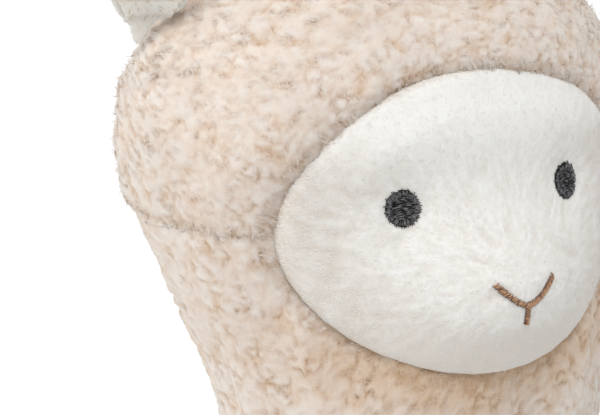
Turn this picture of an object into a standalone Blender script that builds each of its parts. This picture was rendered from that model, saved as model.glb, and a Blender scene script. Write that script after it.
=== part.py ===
"""Stuffed alpaca: a standing soft toy in curly fleece with a smooth plush face.

Lengths are in metres and +Z is up. The face looks along -Y and +X is the toy's left.
Stuffed pieces are made as overlapping lofts, melted into one skin and then curled.
"""

import math

import bmesh
import bpy
from mathutils import Matrix, Vector, noise
from mathutils.bvhtree import BVHTree

MM = 0.001

# Legs, from the floor up
SOLE_RADIUS = 24 * MM
SOLE_THICKNESS = 5 * MM
SOLE_ROUND = 0.35
SOLE_MARGIN = 3 * MM
LEG_RADIUS = 31 * MM
LEG_LENGTH = 76 * MM
LEG_SUNK_SHARE = 0.6
LEG_SPREAD = 41 * MM
FRONT_LEG_AHEAD = 64 * MM
REAR_LEG_BEHIND = 64 * MM

# Torso, an oval lying over the legs
TORSO_HALF_WIDTH = 82 * MM
TORSO_HALF_LENGTH = 116 * MM
TORSO_HALF_HEIGHT = 70 * MM
CHEST_HALF_WIDTH = 65 * MM
CHEST_HALF_DEPTH = 48 * MM
CHEST_HALF_HEIGHT = 66 * MM
CHEST_LIFT = 7 * MM
RUMP_HALF_WIDTH = 74 * MM
RUMP_HALF_LENGTH = 58 * MM
RUMP_HALF_HEIGHT = 68 * MM
RUMP_BEHIND = 52 * MM
TAIL_LENGTH = 50 * MM
TAIL_RADIUS = 15 * MM
TAIL_RISE = 30 * MM

# Neck and head. Head levels are measured from where the head is widest
NECK_AHEAD = 84 * MM
NECK_HALF_WIDTH = 56 * MM
NECK_HALF_DEPTH = 43 * MM
NECK_RISE = 188 * MM
NECK_LEAN = 14 * MM
LEAN_SHARE = 0.6
NECK_FORWARD = 20 * MM
HEAD_TAPER = 84 * MM
TAPER_ONSET = 0.85
HEAD_HALF_WIDTH = 75 * MM
HEAD_HALF_DEPTH = 53 * MM
CROWN_RISE = 57 * MM
SEAM_DROP = 17 * MM

# Face panel, set into the front of the head
FACE_HALF_WIDTH = 52.5 * MM
FACE_HALF_HEIGHT = 38 * MM
FACE_DROP = 17 * MM
FACE_BACK = 26 * MM
FACE_PUFF = 2 * MM
MUZZLE_DROP = 33 * MM
MUZZLE_BULGE = 13 * MM
MUZZLE_HALF_WIDTH = 19 * MM
MUZZLE_HALF_HEIGHT = 15 * MM

# Embroidery
EYE_RADIUS = 4.8 * MM
EYE_THICKNESS = 0.9 * MM
EYE_SPACING = 50.2 * MM
EYE_DROP = 10.7 * MM
EYE_DIMPLE = 2.2 * MM
EYE_DIMPLE_RADIUS = 7 * MM
MOUTH_DROP = 35.4 * MM
MOUTH_WIDTH = 18 * MM
MOUTH_RISE = 6.6 * MM
STEM_LENGTH = 6 * MM
MOUTH_CURVE = 1.5
STITCH_WIDTH = 2 * MM
STITCH_THICKNESS = 0.9 * MM

# Ears
EAR_LENGTH = 64 * MM
EAR_HALF_WIDTH = 19 * MM
EAR_BASE_HALF_WIDTH = 5 * MM
EAR_CUP = 9 * MM
EAR_SHELL = 3 * MM
EAR_LINING = 1.8 * MM
EAR_RIM = 3 * MM
EAR_BEND = 0.9
EAR_OPENING = 0.35
EAR_EDGE = 0.12
LINING_SPAN = (0.2, 0.95)
EAR_RISE = 29 * MM
EAR_BEHIND = 5 * MM
EAR_SUNK = 8 * MM
EAR_OUT_DEG = 11
EAR_FORWARD_DEG = 9
EAR_TURN_DEG = 24

# Curly fleece, and the clearance left between pieces that are sewn together
CLUMP = 13 * MM
CLUMP_DEPTH = 3 * MM
CLUMP_FADE = 6 * MM
SEWN_GAP = 0.4 * MM
FLEECE_GAP = 0.8 * MM
STITCH_GAP = 0.5 * MM

# Mesh fineness
AROUND = 64
LEG_AROUND = 32
FACE_AROUND = 40
FACE_RINGS = 9
VOXEL = 4 * MM
STITCH_VOXEL = 0.4 * MM
LAY_FROM = 40 * MM
SLOPE_STEP = 2 * MM
SOFTENING = 6
FLEECE_TRIANGLES = 5300
LEG_TRIANGLES = 300
TAIL_TRIANGLES = 240
MOUTH_TRIANGLES = 280

# Places that follow from the sizes above
TORSO_LEVEL = LEG_LENGTH + TORSO_HALF_HEIGHT
HEAD_LEVEL = TORSO_LEVEL + NECK_RISE
HEAD = Vector((0, NECK_FORWARD - NECK_AHEAD, HEAD_LEVEL))
SEAM_LEVEL = HEAD_LEVEL - SEAM_DROP


def srgb(red, green, blue):
    """Linear colour of an 8-bit screen colour."""
    return tuple(((c / 255 + 0.055) / 1.055) ** 2.4 for c in (red, green, blue)) + (1,)


COLOURS = {
    "fleece": (srgb(224, 209, 195), 0.95),
    "face_plush": (srgb(238, 236, 230), 0.9),
    "ear_plush": (srgb(226, 220, 212), 0.9),
    "ear_lining": (srgb(196, 176, 152), 0.9),
    "eye_thread": (srgb(61, 59, 60), 0.6),
    "mouth_thread": (srgb(166, 120, 86), 0.6),
}


def material(name):
    """A plain Principled material in one of the toy's colours."""
    made = bpy.data.materials.get(name)
    if made is None:
        colour, roughness = COLOURS[name]
        made = bpy.data.materials.new(name)
        made.use_nodes = True
        shader = made.node_tree.nodes["Principled BSDF"]
        shader.inputs["Base Color"].default_value = colour
        shader.inputs["Roughness"].default_value = roughness
        made.diffuse_color = colour
    return made


def ease(share):
    """Smooth fall from 1 at share 0 to 0 at share 1."""
    share = min(max(share, 0), 1)
    return (1 + math.cos(math.pi * share)) / 2


def piece(name, mesh, colour, place=Vector()):
    """Turn a bmesh into an object, with its own origin at the given place."""
    bmesh.ops.translate(mesh, verts=mesh.verts, vec=-place)
    bmesh.ops.recalc_face_normals(mesh, faces=mesh.faces)
    data = bpy.data.meshes.new(name)
    mesh.to_mesh(data)
    mesh.free()
    made = bpy.data.objects.new(name, data)
    made.location = place
    made.data.materials.append(material(colour))
    bpy.context.collection.objects.link(made)
    return made


def bake(shape):
    """Give an object the mesh that its modifiers make, and drop the modifiers."""
    graph = bpy.context.evaluated_depsgraph_get()
    made = bpy.data.meshes.new_from_object(shape.evaluated_get(graph))
    shape.modifiers.clear()
    shape.data = made


def loft(rings):
    """Closed skin through a list of rings that hold the same number of points."""
    mesh = bmesh.new()
    loops = [[mesh.verts.new(point) for point in ring] for ring in rings]
    for lower, upper in zip(loops, loops[1:]):
        for i in range(len(lower)):
            j = (i + 1) % len(lower)
            mesh.faces.new((lower[i], lower[j], upper[j], upper[i]))
    mesh.faces.new(loops[0][::-1])
    mesh.faces.new(loops[-1])
    return mesh


def oval(centre, half_width, half_depth, count=AROUND):
    """Level oval ring about a centre."""
    turns = [2 * math.pi * i / count for i in range(count)]
    return [centre + Vector((half_width * math.cos(a), half_depth * math.sin(a), 0)) for a in turns]


def egg(centre, half_sizes, tilt=0, rings=18):
    """Ellipsoid, as a loft of level rings, tilted about X."""
    turns = [math.pi * (i + 0.5) / rings - math.pi / 2 for i in range(rings)]
    wide, deep, tall = half_sizes
    levels = [(Vector((0, 0, tall * math.sin(a))), math.cos(a)) for a in turns]
    mesh = loft([oval(middle, wide * share, deep * share) for middle, share in levels])
    mesh.transform(Matrix.Translation(centre) @ Matrix.Rotation(tilt, 4, "X"))
    return mesh


def melt(name, parts, colour, place, triangles, voxel=VOXEL, rounds=SOFTENING):
    """Melt overlapping closed shapes into one soft skin of about so many triangles."""
    joined = bmesh.new()
    for part in parts:
        bmesh.ops.recalc_face_normals(part, faces=part.faces)
        copy = bpy.data.meshes.new(name)
        part.to_mesh(copy)
        part.free()
        joined.from_mesh(copy)
        bpy.data.meshes.remove(copy)
    made = piece(name, joined, colour, place)
    remesh = made.modifiers.new("melt", "REMESH")
    remesh.mode = "VOXEL"
    remesh.voxel_size = voxel
    smooth = made.modifiers.new("soften", "SMOOTH")
    smooth.factor = 0.5
    smooth.iterations = rounds
    bake(made)
    thin = made.modifiers.new("thin", "DECIMATE")
    thin.ratio = min(1, triangles / (2 * len(made.data.polygons)))
    bake(made)
    return made


def curl(shape, hold):
    """Raise the clumps of curly fleece, but not where hold(point) is 0."""
    shift = shape.matrix_basis
    moves = []
    for vertex in shape.data.vertices:
        point = shift @ vertex.co
        near = noise.voronoi(point / CLUMP)[0][0]
        wave = noise.noise(point / (2.7 * CLUMP))
        moves.append(vertex.normal * CLUMP_DEPTH * (0.55 - near + 0.7 * wave) * hold(point))
    for vertex, move in zip(shape.data.vertices, moves):
        vertex.co += move


def grown(shape, gap):
    """Copy of a piece, moved out by a gap along its normals, to cut others with."""
    cutter = bpy.data.objects.new(shape.name + "_cutter", shape.data.copy())
    cutter.matrix_basis = shape.matrix_basis
    for vertex in cutter.data.vertices:
        vertex.co += vertex.normal * gap
    bpy.context.collection.objects.link(cutter)
    return cutter


def carve(shape, cutter):
    """Cut one object out of another."""
    cut = shape.modifiers.new("carve", "BOOLEAN")
    cut.operation = "DIFFERENCE"
    cut.solver = "EXACT"
    cut.object = cutter
    bake(shape)


def discard(cutter):
    """Remove a cutter once it has been used."""
    bpy.data.objects.remove(cutter)


def taper(level):
    """Share of the head's full girth that is left at a level, 0 where the neck is reached."""
    return ease((max(-level, 0) / HEAD_TAPER) ** TAPER_ONSET)


def head_radii(level):
    """Half width and half depth of head and neck, at a level from the widest one."""
    if level > 0:
        share = math.sqrt(max(1 - (level / CROWN_RISE) ** 2, 0))
        return HEAD_HALF_WIDTH * share, HEAD_HALF_DEPTH * share
    share = taper(level)
    wide = NECK_HALF_WIDTH + (HEAD_HALF_WIDTH - NECK_HALF_WIDTH) * share
    deep = NECK_HALF_DEPTH + (HEAD_HALF_DEPTH - NECK_HALF_DEPTH) * share
    return wide, deep


def neck_ahead(level):
    """How far the head or neck lies ahead of the head's own axis, at a level."""
    return NECK_FORWARD * (1 - taper(level))


def head_ring(level, back=0):
    """Ring of the head or neck at a level, moved back by some way."""
    return oval(HEAD + Vector((0, back - neck_ahead(level), level)), *head_radii(level))


def fleece_figure():
    """Head, neck and torso as one curly skin, before its panels are parted."""
    foot = TORSO_LEVEL - HEAD_LEVEL
    low = [foot * (1 - i / 30) for i in range(30)]
    high = [CROWN_RISE * math.sin(math.radians(a)) for a in range(0, 90, 5)]
    levels = low + high
    neck = loft([head_ring(z, NECK_LEAN * ease((z - foot) / (LEAN_SHARE * NECK_RISE))) for z in levels])
    middle = Vector((0, 0, TORSO_LEVEL))
    torso = egg(middle, (TORSO_HALF_WIDTH, TORSO_HALF_LENGTH, TORSO_HALF_HEIGHT), rings=26)
    chest_middle = Vector((0, NECK_LEAN - NECK_AHEAD, TORSO_LEVEL + CHEST_LIFT))
    chest = egg(chest_middle, (CHEST_HALF_WIDTH, CHEST_HALF_DEPTH, CHEST_HALF_HEIGHT))
    rump = egg(Vector((0, RUMP_BEHIND, TORSO_LEVEL)), (RUMP_HALF_WIDTH, RUMP_HALF_LENGTH, RUMP_HALF_HEIGHT))
    made = melt("body_fleece", [neck, torso, chest, rump], "fleece", middle, FLEECE_TRIANGLES)
    curl(made, lambda point: 1)
    return made


def part_at_seam(figure):
    """Part the figure's fleece at the seam that runs round the head."""
    room = 2 * HEAD_LEVEL
    crown_piece = grown(figure, 0)
    crown_piece.name = "crown_fleece"
    spread = [Vector((x, y, 0)) for x, y in ((-room, -room), (room, -room), (room, room), (-room, room))]
    below = SEAM_LEVEL + SEWN_GAP / 2 - room
    above = SEAM_LEVEL - SEWN_GAP / 2
    for shape, level in ((crown_piece, below), (figure, above)):
        rings = [[corner + Vector((0, 0, z)) for corner in spread] for z in (level, level + room)]
        cutter = piece("seam_cutter", loft(rings), "fleece")
        carve(shape, cutter)
        discard(cutter)
    return crown_piece


def leg(name, side, along, fleece_cutter):
    """One leg, cut off where it meets the belly, with its sole under it."""
    foot = Vector((side * LEG_SPREAD, along, 0))
    floor = SOLE_THICKNESS + SEWN_GAP
    tall = LEG_LENGTH + LEG_SUNK_SHARE * TORSO_HALF_HEIGHT - floor
    outline = [(0, (SOLE_RADIUS + SOLE_MARGIN) / LEG_RADIUS), (0.03, 0.97), (0.12, 1), (0.4, 0.96)]
    outline += [(0.7, 1), (0.85, 0.92), (0.95, 0.62), (1, 0.2)]
    rings = []
    for height, width in outline:
        middle = foot + Vector((0, 0, floor + height * tall))
        rings.append(oval(middle, width * LEG_RADIUS, width * LEG_RADIUS, LEG_AROUND))
    made = melt("leg_" + name, [loft(rings)], "fleece", foot, LEG_TRIANGLES, rounds=3)
    curl(made, lambda point: min(max(point.z - floor - SOLE_MARGIN, 0) / CLUMP_FADE, 1))
    carve(made, fleece_cutter)
    sole(name, foot)
    return made


def sole(name, foot):
    """Flat plush sole that the leg stands on."""
    rim = SOLE_THICKNESS * SOLE_ROUND
    steps = [(0, SOLE_RADIUS - rim), (rim, SOLE_RADIUS), (SOLE_THICKNESS - rim, SOLE_RADIUS)]
    steps += [(SOLE_THICKNESS, SOLE_RADIUS - rim)]
    disc = loft([oval(foot + Vector((0, 0, level)), radius, radius, 20) for level, radius in steps])
    return piece("sole_" + name, disc, "face_plush", foot)


def tail(fleece_cutter):
    """Short hanging tail, sewn high on the rump."""
    back = TORSO_HALF_LENGTH * math.sqrt(1 - (TAIL_RISE / TORSO_HALF_HEIGHT) ** 2)
    place = Vector((0, back + TAIL_RADIUS * 0.75, TORSO_LEVEL + TAIL_RISE - TAIL_LENGTH * 0.22))
    shape = egg(place, (TAIL_RADIUS * 1.1, TAIL_RADIUS, TAIL_LENGTH / 2), math.radians(24))
    made = melt("tail_fleece", [shape], "fleece", place, TAIL_TRIANGLES, voxel=2.5 * MM, rounds=2)
    curl(made, lambda point: 1)
    carve(made, fleece_cutter)
    return made


def fleece_front(x, level):
    """How far the fleece lies in front of the head's axis."""
    wide, deep = head_radii(level)
    return neck_ahead(level) + deep * math.sqrt(max(1 - (x / wide) ** 2, 0))


def face_front(x, level):
    """How far the plush face lies in front of the head's axis."""
    across = (x / MUZZLE_HALF_WIDTH) ** 2
    along = ((level + MUZZLE_DROP) / MUZZLE_HALF_HEIGHT) ** 2
    muzzle = MUZZLE_BULGE * math.exp(-(across + along) / 2)
    eye_away = math.hypot(abs(x) - EYE_SPACING / 2, level + EYE_DROP) / EYE_DIMPLE_RADIUS
    dimple = EYE_DIMPLE * math.exp(-eye_away ** 2)
    reach = math.hypot(x / FACE_HALF_WIDTH, (level + FACE_DROP) / FACE_HALF_HEIGHT)
    roll = math.sqrt(max(1 - reach ** 6, 0))
    return fleece_front(x, level) + (FACE_PUFF + muzzle - dimple) * roll


def face_ring(share, front, margin=0):
    """Ring of the face panel at a share of its outline, with its depth from a function."""
    ring = []
    for i in range(FACE_AROUND):
        turn = 2 * math.pi * i / FACE_AROUND
        x = share * (FACE_HALF_WIDTH + margin) * math.cos(turn)
        level = share * (FACE_HALF_HEIGHT + margin) * math.sin(turn) - FACE_DROP
        ring.append(HEAD + Vector((x, -front(x, level), level)))
    return ring


def face():
    """Plush face panel, padded out over the muzzle."""
    shares = [math.sin(math.pi / 2 * (i + 1) / FACE_RINGS) for i in range(FACE_RINGS)]
    rings = [face_ring(share, face_front) for share in [0.04] + shares]
    rings += [face_ring(share, lambda x, level: FACE_BACK) for share in (1, 0.5)]
    return piece("face_plush", loft(rings), "face_plush", HEAD)


def face_pocket():
    """What the face panel takes out of crown and neck, open to the front."""
    ahead = 2 * HEAD_HALF_DEPTH
    rings = [face_ring(1, lambda x, level, y=y: y, SEWN_GAP) for y in (ahead, FACE_BACK - SEWN_GAP)]
    return piece("face_pocket", loft(rings), "face_plush", HEAD)


class Cloth:
    """The face panel's surface, for embroidery to lie on."""

    def __init__(self, face_piece, x, level):
        vertices = [face_piece.matrix_basis @ v.co for v in face_piece.data.vertices]
        polygons = [tuple(p.vertices) for p in face_piece.data.polygons]
        self.skin = BVHTree.FromPolygons(vertices, polygons)
        step = SLOPE_STEP
        right = face_front(x + step, level) - face_front(x - step, level)
        upward = face_front(x, level + step) - face_front(x, level - step)
        self.out = Vector((-right, -2 * step, -upward)).normalized()
        self.right = self.out.cross(Vector((0, 0, -1))).normalized()
        self.up = self.right.cross(self.out).normalized() * -1
        self.centre = HEAD + Vector((x, -face_front(x, level), level))

    def lay(self, across, along, height):
        """Point over the cloth, by its place on the flat pattern and its height."""
        start = self.centre + self.right * across + self.up * along + self.out * LAY_FROM
        hit = self.skin.ray_cast(start, -self.out)[0]
        return hit + self.out * height


def eye(name, side, face_piece):
    """Round patch of satin stitches, slightly domed."""
    cloth = Cloth(face_piece, side * EYE_SPACING / 2, -EYE_DROP)
    shape = [(0.5, 0), (0.86, 0), (1, 0.35), (0.93, 0.75), (0.7, 1), (0.3, 1)]
    rings = []
    for share, height in shape:
        turns = [2 * math.pi * i / 16 for i in range(16)]
        reach = share * EYE_RADIUS
        lift = STITCH_GAP + height * EYE_THICKNESS
        rings.append([cloth.lay(reach * math.cos(a), reach * math.sin(a), lift) for a in turns])
    return piece("eye_" + name, loft(rings), "eye_thread", cloth.centre)


def stitch_run(cloth, path):
    """Flat round-ended cord of stitches along a path on the cloth."""
    rings = []
    last = len(path) - 1
    for i, point in enumerate(path):
        ahead = path[min(i + 1, last)] - path[max(i - 1, 0)]
        side = Vector((-ahead.y, ahead.x)).normalized()
        end = min(i, last - i)
        fullness = 0.5 if end == 0 else 1
        ring = []
        for k in range(10):
            turn = 2 * math.pi * k / 10
            spot = point + side * math.cos(turn) * fullness * STITCH_WIDTH / 2
            height = STITCH_GAP + (1 + fullness * math.sin(turn)) * STITCH_THICKNESS / 2
            ring.append(cloth.lay(spot.x, spot.y, height))
        rings.append(ring)
    return loft(rings)


def mouth(face_piece):
    """Nose and mouth, a Y of brown stitches: two raised arms and a stem."""
    cloth = Cloth(face_piece, 0, -MOUTH_DROP)
    steps = 12
    arms = []
    for i in range(steps + 1):
        across = 2 * i / steps - 1
        arms.append(Vector((across * MOUTH_WIDTH / 2, MOUTH_RISE * abs(across) ** MOUTH_CURVE)))
    stem = [Vector((0, -STEM_LENGTH * i / 5)) for i in range(6)]
    runs = [stitch_run(cloth, arms), stitch_run(cloth, stem)]
    place = cloth.centre
    return melt("nose_mouth_stitch", runs, "mouth_thread", place, MOUTH_TRIANGLES, STITCH_VOXEL, 2)


def ear_point(along, across, lift):
    """Point of the cupped ear, by shares along and across it, lifted to its front."""
    bulge = math.sin(math.pi * along ** 1.4) ** 1.6
    tip = math.sqrt(max(1 - along ** 4, 0))
    half = EAR_BASE_HALF_WIDTH * tip + (EAR_HALF_WIDTH - EAR_BASE_HALF_WIDTH) * bulge
    cup = EAR_CUP * (1 - EAR_OPENING * along)
    bend = EAR_BEND * across
    x = half * math.sin(bend) / math.sin(EAR_BEND)
    y = -cup * (1 - math.cos(bend)) / (1 - math.cos(EAR_BEND)) * half / EAR_HALF_WIDTH - lift
    lean = EAR_CUP / 2 * along ** 2
    return Vector((x, y + lean, along * EAR_LENGTH))


def ear_layer(back, front, low, high, width):
    """Leaf of one thickness, from a back lift to a front lift, thin at its edges."""
    rows, columns = 9, 6
    mesh = bmesh.new()
    sheets = []
    for lift in (back, front):
        sheet = []
        for i in range(rows + 1):
            row = []
            for j in range(columns + 1):
                along = low + (high - low) * i / rows
                across = 2 * j / columns - 1
                inner = min(1, 4 * i / rows, 4 * (rows - i) / rows) * (1 - across ** 4)
                middle = (back + front) / 2
                height = middle + (lift - middle) * (EAR_EDGE + (1 - EAR_EDGE) * inner)
                row.append(mesh.verts.new(ear_point(along, across * width, height)))
            sheet.append(row)
        sheets.append(sheet)
    for sheet in sheets:
        for i in range(rows):
            for j in range(columns):
                mesh.faces.new((sheet[i][j], sheet[i][j + 1], sheet[i + 1][j + 1], sheet[i + 1][j]))
    edge = [(i, 0) for i in range(rows)] + [(rows, j) for j in range(columns)]
    edge += [(i, columns) for i in range(rows, 0, -1)] + [(0, j) for j in range(columns, 0, -1)]
    for (i, j), (k, m) in zip(edge, edge[1:] + edge[:1]):
        mesh.faces.new((sheets[0][i][j], sheets[0][k][m], sheets[1][k][m], sheets[1][i][j]))
    return mesh


def ear(name, side, fleece_cutter):
    """Cupped ear: a plush shell and the lining in front of it."""
    wide, deep = head_radii(EAR_RISE)
    base = HEAD + Vector((side * wide * math.sqrt(1 - (EAR_BEHIND / deep) ** 2), EAR_BEHIND, EAR_RISE))
    out = Matrix.Rotation(math.radians(side * EAR_OUT_DEG), 4, "Y")
    forward = Matrix.Rotation(math.radians(EAR_FORWARD_DEG), 4, "X")
    turn = Matrix.Rotation(math.radians(side * EAR_TURN_DEG), 4, "Z")
    pose = Matrix.Translation(base) @ forward @ out @ turn @ Matrix.Translation((0, 0, -EAR_SUNK))
    back = EAR_SHELL / 2 + SEWN_GAP
    narrow = 1 - EAR_RIM / EAR_HALF_WIDTH
    low, high = LINING_SPAN
    layers = {
        "shell": (ear_layer(-EAR_SHELL / 2, EAR_SHELL / 2, 0, 1, 1), "ear_plush"),
        "lining": (ear_layer(back, back + EAR_LINING, low, high, narrow), "ear_lining"),
    }
    for layer, (mesh, colour) in layers.items():
        made = piece("ear_" + name + "_" + layer, mesh, colour)
        made.matrix_basis = pose
        carve(made, fleece_cutter)


def stand_on_origin(root):
    """Move the whole toy so that its box stands centred on the origin."""
    bpy.context.view_layer.update()
    corners = [o.matrix_world @ v.co for o in bpy.data.objects if o.type == "MESH" for v in o.data.vertices]
    middle = [(min(c[i] for c in corners) + max(c[i] for c in corners)) / 2 for i in range(3)]
    root.location = (-middle[0], -middle[1], -min(c.z for c in corners))


def build():
    """Make every piece of the toy and stand it on the origin."""
    for old in list(bpy.data.objects):
        bpy.data.objects.remove(old)
    body_piece = fleece_figure()
    fleece_cutter = grown(body_piece, FLEECE_GAP)
    crown_piece = part_at_seam(body_piece)
    for end, along in (("front", -FRONT_LEG_AHEAD), ("rear", REAR_LEG_BEHIND)):
        for hand, side in (("right", -1), ("left", 1)):
            leg(end + "_" + hand, side, along, fleece_cutter)
    tail(fleece_cutter)
    for hand, side in (("right", -1), ("left", 1)):
        ear(hand, side, fleece_cutter)
    discard(fleece_cutter)
    face_piece = face()
    pocket = face_pocket()
    carve(crown_piece, pocket)
    carve(body_piece, pocket)
    discard(pocket)
    for hand, side in (("right", -1), ("left", 1)):
        eye(hand, side, face_piece)
    mouth(face_piece)
    root = bpy.data.objects.new("alpaca", None)
    bpy.context.collection.objects.link(root)
    for made in bpy.data.objects:
        if made.type == "MESH":
            made.parent = root
    stand_on_origin(root)


build()
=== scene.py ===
"""Stuffed alpaca toy: curly fleece over a padded body, a short plush face and sewn features."""

import math

import bpy
import numpy as np
from mathutils import Matrix, Vector, noise
from mathutils.bvhtree import BVHTree
from mathutils.kdtree import KDTree


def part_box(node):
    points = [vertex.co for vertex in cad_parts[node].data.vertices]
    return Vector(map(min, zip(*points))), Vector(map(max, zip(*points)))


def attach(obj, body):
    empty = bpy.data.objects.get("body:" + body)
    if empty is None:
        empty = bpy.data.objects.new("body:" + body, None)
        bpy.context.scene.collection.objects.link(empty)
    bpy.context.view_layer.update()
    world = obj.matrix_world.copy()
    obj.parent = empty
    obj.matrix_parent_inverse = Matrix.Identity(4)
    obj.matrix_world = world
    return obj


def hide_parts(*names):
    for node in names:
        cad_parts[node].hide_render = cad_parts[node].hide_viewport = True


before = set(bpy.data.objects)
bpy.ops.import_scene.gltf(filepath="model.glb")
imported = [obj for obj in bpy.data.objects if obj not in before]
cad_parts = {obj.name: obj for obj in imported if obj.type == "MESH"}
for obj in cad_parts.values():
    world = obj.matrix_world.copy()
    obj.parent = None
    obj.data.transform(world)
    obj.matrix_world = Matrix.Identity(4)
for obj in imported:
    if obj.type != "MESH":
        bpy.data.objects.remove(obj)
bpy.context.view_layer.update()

MM = 0.001

# Unseeded, noise_vector takes its offsets from the clock and no two runs are alike
noise.seed_set(1)

# Places read from the frame
FACE_LOW, FACE_HIGH = (Vector(corner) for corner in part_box("face_plush"))
FACE_MIDDLE = (FACE_LOW + FACE_HIGH) / 2
FACE_HALF_WIDTH = (FACE_HIGH.x - FACE_LOW.x) / 2
FACE_HALF_HEIGHT = (FACE_HIGH.z - FACE_LOW.z) / 2
SEAM_LEVEL = Vector(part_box("crown_fleece")[0]).z
HEAD_AXIS = Vector((0, -61.3 * MM, SEAM_LEVEL + 16.8 * MM))
MOUTH_LOW, MOUTH_HIGH = (Vector(corner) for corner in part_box("nose_mouth_stitch"))
NECK_FOOT = 215 * MM

# Padding: how far the stuffing may push the cloth out, and how near face and seam it is held
CAGE_VOXEL = 6 * MM
STUFFING_PRESSURE = 4
STUFFING_FRAMES = 20
STUFFING_CAP = 3.5 * MM
TUCK = 1.5 * MM
FACE_HOLD = 1.25
SEAM_HOLD = 5 * MM

# Bags: the size of each one's quads, and the rounds that smooth them
CLOTH = {
    "crown": (1.1 * MM, 14),
    "body": (1.35 * MM, 11),
    "face": (0.9 * MM, 10),
    "ear": (0.8 * MM, 5),
    "lining": (0.6 * MM, 10),
    "limb": (1.7 * MM, 8),
    "pad": (1.2 * MM, 3),
    "tail": (1.4 * MM, 8),
}

# Fibres: how many, the seed of their random draws and, for curls, how coarse they are
CURLS = {
    "crown_curls_fine": (38000, 3, 1),
    "crown_curls_long": (24000, 5, 1.25),
    "ear_base_curls": (3500, 16, 1.3),
    "neck_curls": (45000, 4, 1),
    "torso_curls": (30000, 6, 1.6),
    "limb_curls": (5200, 10, 1.6),
    "tail_curls": (2500, 13, 1.4),
}
EDGE_CURLS = {"crown_edge_curls": (10000, 14), "neck_edge_curls": (9000, 15)}
NAPS = {"face_nap": (42000, 7), "ear_nap": (5000, 8), "lining_nap": (2500, 9)}

# Fleece: clumps and combed locks, the seam, the face's rim and the fibres over them
CLUMP = 4.6 * MM
CLUMP_FLATNESS = 1.5
CLUMP_DEPTH = 1.2 * MM
LOCK = 8 * MM
LOCK_FLATNESS = 3.2
LOCK_START = 1.25
LOCK_END = 1.65
SOFTNESS = 0.82
DRIFT = 14 * MM
DRIFT_DEPTH = 1.2 * MM
SEAM_GROOVE = 0.5 * MM
SEAM_SPREAD = 4 * MM
SEAM_CLOSE = 1.4 * MM
SEAM_LEVELLING = 0.85
# Painted shade along the seam: its width, and how much of the pile's tone it takes away
SEAM_SHADE_WIDTH = 1.1 * MM
SEAM_SHADE = 0.3
SEAM_OVERLAP = 0.6 * MM
SEAM_EDGE = 2.2 * MM
SEAM_EDGE_SHARE = 0.7
RIM_PUFF = 2.8 * MM
RIM_REACH = 1.11
RIM_LEAN = 1.6 * MM
# Tone kept at the face's rim, where a band of shade is painted on the fleece
RIM_SHADE = 0.35
RIM_EDGE_SHARE = 1.3
CHIN_DIP = 0.2 * MM
# Tone kept under the chin, where the chin's shadow is painted on the fleece
CHIN_SHADE = 0.25
PILE_SINK = 0.9 * MM
FIBRE_LENGTH = 2.4 * MM
FIBRE_WIDTH = 0.21 * MM
FIBRE_STRAY = 0.45 * MM
FIBRE_TONES = 0.16
FUZZ_SHARE = 0.15
FUZZ_WIDTH = 0.45
FUZZ_LENGTH = 1.2

# How far a clump's fibres turn round it, and the scale at which its middle picks a random number
SWIRL = 3.2
TUFT_SCALE = 900

# Places by the face panel's outline, which is 1: where fleece starts and stands full, and where the
# rim's roll, lean and dip start, peak and end
FLEECE_START = 0.95
FLEECE_FULL = 1.01
ROLL_BAND = (0.96, 1.13, 1.5)
LEAN_BAND = (0.97, 1.04, 1.35)
DIP_BAND = (1.02, 1.12, 1.4)

# Ears
EAR_SUNK = 8 * MM
EAR_LEAN = 7 * MM
EAR_BASE = 13 * MM
EAR_ROUNDS = 25
LINING_LIFT = 0.5 * MM
LINING_PALE = 4.5 * MM
LINING_FADE = 9.5 * MM
LINING_SINK = 2 * MM

# Legs: curls up to the belly, and thighs that swell to close on it
LEG_CURLS_TOP = 105 * MM
THIGH_LOW = 70 * MM
THIGH_HIGH = 85 * MM
THIGH_SWELL = 1.6 * MM

# Face plush
NAP_LENGTH = 1.7 * MM
NAP_WIDTH = 0.19 * MM
NAP_LIFT = 0.35
NAP_FLOW = 7 * MM
FACE_NAP_OWN = 0.32
FACE_FINE = 1.3 * MM
PLUSH_FINE = 1.5 * MM
STREAKS = 20
STREAK_LENGTH = 6 * MM
STREAK_DEPTH = 0.12 * MM
BROW_PLACE = 0.65
BROW_SPREAD = 0.3
BROW_SWELL = 2.2 * MM
CHIN_TOP = 22 * MM
CHIN_FOOT = 31 * MM
CHIN_NAP_FOOT = 30 * MM
CREASE_WIDTH = 1.3 * MM
FACE_CREASES = (
    ((-25.1, 1.8), (-28.7, -3.2), 0.7 * MM),
    ((12, -4), (25.5, -13.6), 0.6 * MM),
    ((24, 2), (21.5, -4), 0.5 * MM),
    ((-7, -7.5), (-14, -5), 0.5 * MM),
    ((-5, -4), (-9, 1.5), 0.45 * MM),
    ((0, -4), (0.5, 2.5), 0.4 * MM),
    ((6, -5), (9.5, 0), 0.45 * MM),
    ((-6, -14), (-13, -17), 0.5 * MM),
)

# Embroidery
STEM_LENGTH = 6 * MM
LEFT_ARM = 8.7 * MM
LEFT_RISE = 6.6 * MM
RIGHT_ARM = 10.3 * MM
RIGHT_RISE = 6 * MM
MOUTH_CURVE = 1.5
MOUTH_PITCH = 0.62 * MM
MOUTH_STITCH = 1.75 * MM
MOUTH_THREAD = 0.46 * MM
EYE_RADIUS = 4.8 * MM
EYE_RIM_STITCHES = 58
EYE_ROWS = 13
EYE_BACKING_ROWS = 22
EYE_THREAD = 0.38 * MM
EYE_RIM_HEIGHTS = ((0, 0.05 * MM), (0.25, 0.5 * MM), (0.6, 0.62 * MM), (1, 0.35 * MM))
MOUTH_HEIGHTS = ((-1, 0.02 * MM), (-0.6, 0.5 * MM), (0, 0.72 * MM), (0.6, 0.5 * MM), (1, 0.02 * MM))
# Threads: the height above the skin where their painted shade ends, and the size of their random painted
# glints
THREAD_TOP = 0.8 * MM
THREAD_SHINE = 0.6 * MM

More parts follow.
